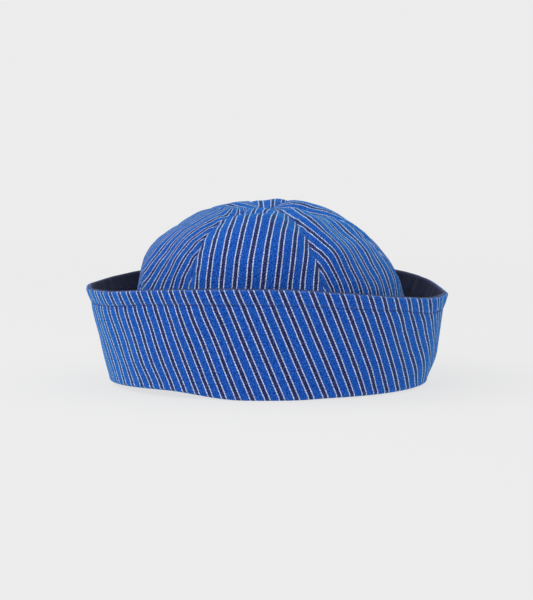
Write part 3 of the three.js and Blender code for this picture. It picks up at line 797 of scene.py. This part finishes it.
# each fold runs through a few places, given by azimuth and distance from the middle
crownFolds = [
    {"name": "left crease", "path": [(-64, 87), (-66, 72)], "width": 11, "height": 2.4},
    # the left crease ridge is painted lighter: a painted highlight along its turning edge
    {"name": "left crease ridge", "path": [(-60, 86), (-64, 81), (-69, 78)], "width": 3.0, "height": 0.9,
     "wearAndHighlight": 1.0},
    {"name": "left crease groove", "path": [(-65, 86), (-70, 81), (-76, 77)], "width": 3.0, "height": -2.8},
    {"name": "left shoulder", "path": [(-72, 77), (-108, 77)], "width": 11, "height": 0.8},
    {"name": "left foot", "path": [(-56, 88), (-32, 89)], "width": 13, "height": -2.5},
    {"name": "left slope", "path": [(-80, 57), (-108, 57)], "width": 14, "height": -1.9},
    {"name": "left hollow", "path": [(-84, 88), (-85, 81)], "width": 12, "height": -1.0},
    {"name": "right fold", "path": [(44, 26), (34, 72)], "width": 9, "height": 1.7},
    {"name": "right trough", "path": [(62, 32), (52, 76)], "width": 12, "height": -1.8},
    {"name": "front ridge", "path": [(-17, 45), (4, 45)], "width": 8, "height": 1.0},
    {"name": "front dent", "path": [(-34, 36), (-18, 35), (0, 37)], "width": 7, "height": -1.9},
    {"name": "front swell", "path": [(-30, 20), (0, 20)], "width": 6, "height": 0.6},
    {"name": "front top", "path": [(-50, 30), (-15, 26), (12, 22)], "width": 15, "height": -2.4},
    {"name": "back rise", "path": [(165, 26), (195, 30), (235, 32)], "width": 14, "height": 0.9},
    {"name": "seam pucker", "path": [(16, 80), (20, 66)], "width": 8, "height": -1.2},
    {"name": "right slope", "path": [(76, 70), (104, 70)], "width": 12, "height": -0.7},
    {"name": "right shoulder", "path": [(75, 50), (105, 50)], "width": 12, "height": 0.4},
    {"name": "top right", "path": [(70, 30), (120, 30)], "width": 8, "height": -0.5},
    {"name": "back seam ridge", "path": [(204, 18), (203, 34)], "width": 7, "height": 2.2},
    {"name": "back puff", "path": [(144, 22), (124, 27)], "width": 10, "height": 3.3},
    {"name": "back left dent", "path": [(-128, 40), (-112, 62)], "width": 14, "height": -1.8},
    {"name": "back right fold", "path": [(112, 42), (128, 70)], "width": 12, "height": 1.5},
]


def axisX(z):
    rise = np.clip((z - crown["foot"]) / (crown["top"] - crown["foot"]), 0, 1)
    return crown["shiftX"] + crown["apexShiftX"] * rise ** 2


def fromAxis(points):
    return np.hypot(points[..., 0] - axisX(points[..., 2]), points[..., 1])


def crownSmooth(azimuth, row):
    # the dome with no folds yet, and the upright wall under it
    azimuth, row = np.broadcast_arrays(np.asarray(azimuth, float), np.asarray(row, float))
    square = around(goreShape, "square", azimuth - crown["firstGore"])
    rise = around(goreShape, "rise", azimuth - crown["firstGore"])
    angle = np.radians(np.clip(row, 0, 90))
    out = np.sin(angle) ** (2 / square)
    up = np.maximum(0, np.cos(angle)) ** (2 / square)
    x, y = onEllipse(crown["halfWidth"], crown["halfDepth"], azimuth, 0)
    top = crown["top"] + rise * smooth(out * crown["halfWidth"] / crown["riseReach"]) * (1 - out)
    domeZ = crown["foot"] + (top - crown["foot"]) * up
    dome = np.stack([x * out + axisX(domeZ), y * out, domeZ], -1)
    down = np.clip((row - 90) / 90, 0, 1)
    spread = down ** crown["wallCurve"]
    wide = crown["halfWidth"] + (brim["halfWidth"] - crownFoot["inset"] - crown["halfWidth"]) * spread
    deep = crown["halfDepth"] + (brim["halfDepth"] - crownFoot["inset"] - crown["halfDepth"]) * spread
    x, y = onEllipse(wide, deep, azimuth, 0)
    footZ = brimLevel(azimuth, "lift") + crownFoot["z"]
    wallZ = crown["foot"] + (footZ - crown["foot"]) * down
    wall = np.stack([x + crown["shiftX"] * (1 - smooth(down)), y, wallZ], -1)
    return np.where((row <= 90)[..., None], dome, wall)


def crownNormal(azimuth, row):
    step = 0.4
    row = np.clip(row, 1, 180 - step)
    east = crownSmooth(azimuth + step, row) - crownSmooth(azimuth - step, row)
    south = crownSmooth(azimuth, row + step) - crownSmooth(azimuth, row - step)
    normal = np.cross(south, east)
    return normal / np.linalg.norm(normal, axis=-1, keepdims=True)


def crownPlace(azimuth, radius):
    # point of the smooth crown at a distance from its middle, found among many close rows
    points = crownSmooth(azimuth, np.linspace(0, 180, 3601))
    return points[np.searchsorted(fromAxis(points), radius)]


def toLine(points, start, end):
    along = end - start
    t = np.clip((points - start) @ along / (along @ along), 0, 1)
    return np.linalg.norm(points - start - t[..., None] * along, axis=-1)


def crownRelief(azimuth, row, centre, points):
    radius = fromAxis(points)
    fromCentre = azimuth - centre
    toSeam = np.radians(crown["goreAngle"] / 2 - np.abs(fromCentre)) * radius
    shown = 1 - smooth((row - crown["calmFrom"]) / crown["calmOver"])
    awayFromApex = smooth(radius / crown["apexCalm"])
    offTop = awayFromApex * shown
    puff = around(goreShape, "puff", azimuth - crown["firstGore"])
    relief = puff * np.cos(np.radians(3 * fromCentre)) * offTop
    foldLightening = 0 * relief
    relief -= crown["seamDip"] * hill(toSeam, crown["seamDipWidth"]) * offTop
    relief -= crown["apexDip"] * hill(radius, crown["apexDipWidth"]) + crown["settle"] * offTop
    for fold in crownFolds:
        places = [crownPlace(*place) for place in fold["path"]]
        away = np.min([toLine(points, *ends) for ends in zip(places, places[1:])], axis=0)
        relief += fold["height"] * hill(away, fold["width"]) * shown
        # a fold with a share here is painted lighter: a painted highlight
        foldLightening += fold.get("wearAndHighlight", 0) * hill(away, fold["width"]) * shown
    # seam line, its puckers, and the small unevenness of soft cloth
    groove = crown["seamGroove"] * hill(toSeam, crown["seamGrooveWidth"])
    relief -= groove * smooth(radius / crown["seamGrooveFade"])

    def hills(kind):
        return crown[kind] * softNoise(points, crown[kind + "Size"], crown[kind + "Seed"])

    relief += hills("pucker") * hill(toSeam - crown["puckerAt"], crown["puckerReach"]) * awayFromApex
    relief += hills("wave") * offTop
    relief += hills("small") * offTop
    return relief, toSeam, foldLightening


def goreGrain(gore, across, fall, points):
    # place on the flat cloth, across being measured from the gore's middle and fall from the top
    s, t = across / goreCut["unit"], (fall - goreCut["middle"]) / goreCut["unit"]
    last, over = goreCut["bendsTo"], goreCut["straightOver"]
    t = np.where(t > last, last + over - over * np.exp((last - t) / over), t)
    stripes = gore["first"] + gore["across"] * s + gore["down"] * t + gore["bend"] * t ** 2
    stripes = stripes + gore["fan"] * s * t + gore["bow"] * s ** 2
    stripes = stripes + gore["sway"] * t ** 3 + gore["spread"] * s * t ** 2
    wander = softNoise(points, goreCut["wanderSize"], goreCut["wanderSeed"])
    u = stripes * twill["period"] + goreCut["wander"] * wander
    return np.stack([u, fall + 0 * u], -1)


def makeGore(gore):
    centre = crown["firstGore"] + gore["azimuth"]
    domeRows = np.linspace(crown["firstRow"], 90, crown["rows"])
    wallRows = np.linspace(crown["firstWallRow"], 180, crown["footRows"])
    row = np.concatenate([domeRows, wallRows])[:, None]
    share = np.linspace(-1, 1, crown["columns"] + 1)[None, :]
    share = share + crown["crowding"] * np.sin(math.pi * share)
    middle = crownSmooth(centre, row[:, 0])
    radius = fromAxis(middle)[:, None]
    trim = np.degrees(np.arcsin(np.minimum(crown["halfGap"] / radius, 0.4)))
    azimuth = centre + (crown["goreAngle"] / 2 - trim) * share
    row = row + 0 * azimuth
    points, normal = crownSmooth(azimuth, row), crownNormal(azimuth, row)
    relief, toSeam, foldLightening = crownRelief(azimuth, row, centre, points)
    upright = smooth((row - crown["uprightFrom"]) / crown["uprightOver"])[..., None]
    flat = normal * (1, 1, 0)
    normal = normal * (1 - upright) + upright * flat / np.linalg.norm(flat, axis=-1, keepdims=True)
    outer = points + normal * relief[..., None]
    turned = 1 - smooth((toSeam - crown["allowanceWidth"]) / crown["allowanceFade"])
    turned = turned * smooth((points[..., 2] - crown["allowanceFoot"]) / crown["allowanceFootFade"])
    thickness = crown["cloth"] + crown["allowance"] * turned
    inner = outer - normal * thickness[..., None]
    fall = np.concatenate([[0], np.cumsum(np.linalg.norm(np.diff(middle, axis=0), axis=1))])[:, None]
    across = np.radians(azimuth - centre) * radius
    wearAndHighlight = crown["seamWear"] * hill(toSeam - crown["seamWearAt"], crown["seamWearWidth"])
    # lighter from wear at the seams and the top, and a painted highlight on the folds
    wearAndHighlight += crown["apexWear"] * hill(fromAxis(points), crown["apexWearWidth"]) + foldLightening
    grain = goreGrain(gore, across, fall, points)
    piece = clothPiece("crownPanel_" + gore["name"], outer, inner, grain, wearAndHighlight, closed=False)
    dress(piece, striped, "striped_cloth", "crown_panel_" + gore["name"])


for gore in goreShape:
    makeGore(gore)
print("crown made")

studio = {
    "paper": 0.84,  # brightness of the pale ground and of the air around it
    "shade": 0.175,  # share of the ground's brightness that the hat can shade
    "groundDark": 0.135, "groundPale": 0.145, "gritPerMetre": 900.0, "roughness": 0.9,
    "rings": (0.4, 1.2, 3.0, 9.0), "corners": 96,  # of the floor, in metres from the hat
    "airFrom": 0.5, "airBy": 1.8,  # metres from the hat, where the ground turns into air
}
softboxes = [
    {"name": "key", "place": (-0.8, -1.35, 1.0), "aim": (0, 0, 0.05), "size": 0.9, "power": 4.6},
    {"name": "overhead", "place": (-1.25, 0.0, 1.1), "aim": (0, 0, 0.06), "size": 1.1, "power": 6.5},
]


def makeFloor():
    steps, radii = studio["corners"], studio["rings"]
    points = [(r * math.cos(2 * math.pi * k / steps), r * math.sin(2 * math.pi * k / steps), 0)
              for r in radii for k in range(steps)]
    faces = [tuple(range(steps))]
    for ring in range(len(radii) - 1):
        for k in range(steps):
            a, b = ring * steps + k, ring * steps + (k + 1) % steps
            faces.append((a, a + steps, b + steps, b))
    mesh = bpy.data.meshes.new("paperFloor")
    mesh.from_pydata(points, [], faces)
    floor = bpy.data.objects.new("paperFloor", mesh)
    bpy.context.scene.collection.objects.link(floor)
    # pale paper that glows a little, so that it has no horizon and only a faint shadow
    material, tree, paper = newMaterial("palePaper")
    place = tree.nodes.new("ShaderNodeTexCoord").outputs["Object"]
    distance = tree.nodes.new("ShaderNodeVectorMath")
    distance.operation = "LENGTH"
    plug(tree, distance.inputs[0], place)
    grit = speckle(tree, place, studio["gritPerMetre"])
    dark, pale = ((studio[name],) * 3 for name in ("groundDark", "groundPale"))
    plug(tree, paper.inputs["Base Color"], mixColour(tree, grit, dark, pale))
    paper.inputs["Roughness"].default_value = studio["roughness"]
    paper.inputs["Specular IOR Level"].default_value = 0.0
    paper.inputs["Emission Color"].default_value = (1, 1, 1, 1)
    paper.inputs["Emission Strength"].default_value = studio["paper"] * (1 - studio["shade"])
    air = tree.nodes.new("ShaderNodeEmission")
    air.inputs["Strength"].default_value = studio["paper"]
    blend = tree.nodes.new("ShaderNodeMixShader")
    plug(tree, blend.inputs[0], fade(tree, distance.outputs["Value"], studio["airFrom"], studio["airBy"]))
    plug(tree, blend.inputs[1], paper.outputs[0])
    plug(tree, blend.inputs[2], air.outputs[0])
    plug(tree, tree.nodes["Material Output"].inputs[0], blend.outputs[0])
    mesh.materials.append(material)


def hangLamp(box):
    data = bpy.data.lights.new(box["name"], "AREA")
    data.shape, data.size, data.energy = "DISK", box["size"], box["power"]
    lamp = bpy.data.objects.new(box["name"], data)
    lamp.location = box["place"]
    lamp.visible_camera = False
    x, y, z = (box["aim"][i] - box["place"][i] for i in range(3))
    lamp.rotation_euler = (math.atan2(math.hypot(x, y), -z), 0, math.atan2(-x, y))
    bpy.context.scene.collection.objects.link(lamp)


makeFloor()
world = bpy.data.worlds.new("studioAir")
world.use_nodes = True
sky = world.node_tree.nodes["Background"]
sky.inputs[0].default_value = (1, 1, 1, 1)
sky.inputs[1].default_value = studio["paper"]
bpy.context.scene.world = world
for box in softboxes:
    hangLamp(box)
bpy.context.scene.view_settings.view_transform = "Standard"

view = {
    "distance": 1.6,  # metres in front of the hat's middle
    "height": 0.17567,
    "pitch": 4.484,  # degrees below level
    "focal": 158.15, "sensor": 36,
    "farthest": 60,  # metres
}
cameraData = bpy.data.cameras.new("studioCamera")
cameraData.lens = view["focal"]
cameraData.sensor_width = view["sensor"]
cameraData.clip_end = view["farthest"]
camera = bpy.data.objects.new("studioCamera", cameraData)
camera.location = (0, -view["distance"], view["height"])
camera.rotation_euler = (math.radians(90 - view["pitch"]), 0, 0)
bpy.context.scene.collection.objects.link(camera)
bpy.context.scene.camera = camera
print("studio and camera set")

bpy.context.view_layer.update()
